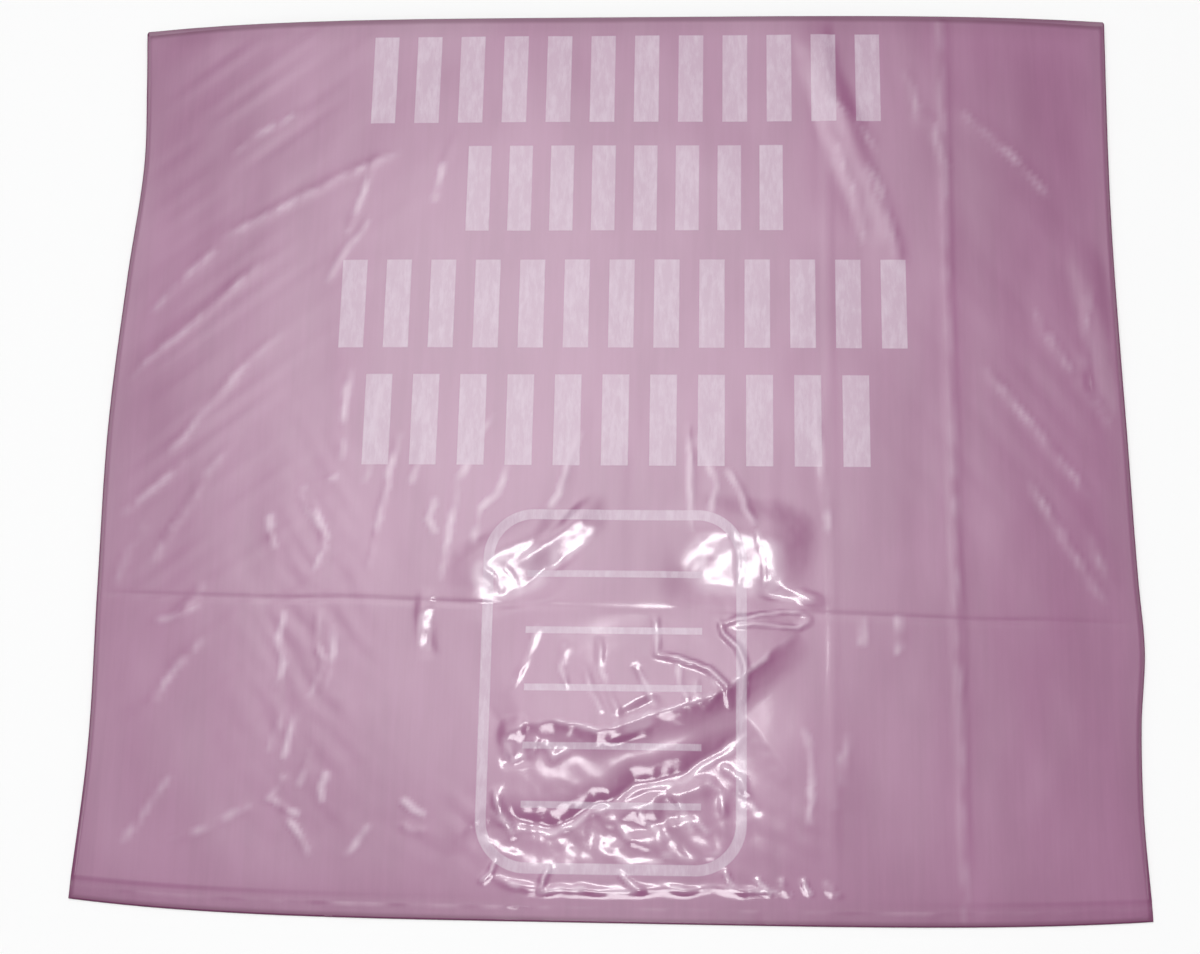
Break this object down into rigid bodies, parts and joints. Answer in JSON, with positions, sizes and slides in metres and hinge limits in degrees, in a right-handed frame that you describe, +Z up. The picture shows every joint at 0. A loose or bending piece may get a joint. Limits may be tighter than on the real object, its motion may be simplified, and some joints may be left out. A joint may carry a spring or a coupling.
{
  "type": "biohazard waste bag",
  "caption": "Empty flat waste bag of glossy purple plastic film: a tube folded flat at both sides, welded shut across the bottom, open at the mouth, creased from packing.",
  "frame": {"origin": "on the floor under the middle of the bag's bounding box", "axes": "+X across the bag between its side folds, +Y from the bottom weld towards the open mouth, +Z up out of the front panel"},
  "size_m": [0.6068, 0.556, 0.0097],
  "materials": {
    "purple_film": "thin glossy polythene film, mauve purple, with a pale one-colour print, soft haze and small wrinkles"
  },
  "bodies": {
    "root": {"bag": "purple_film"}
  },
  "joints": []
}
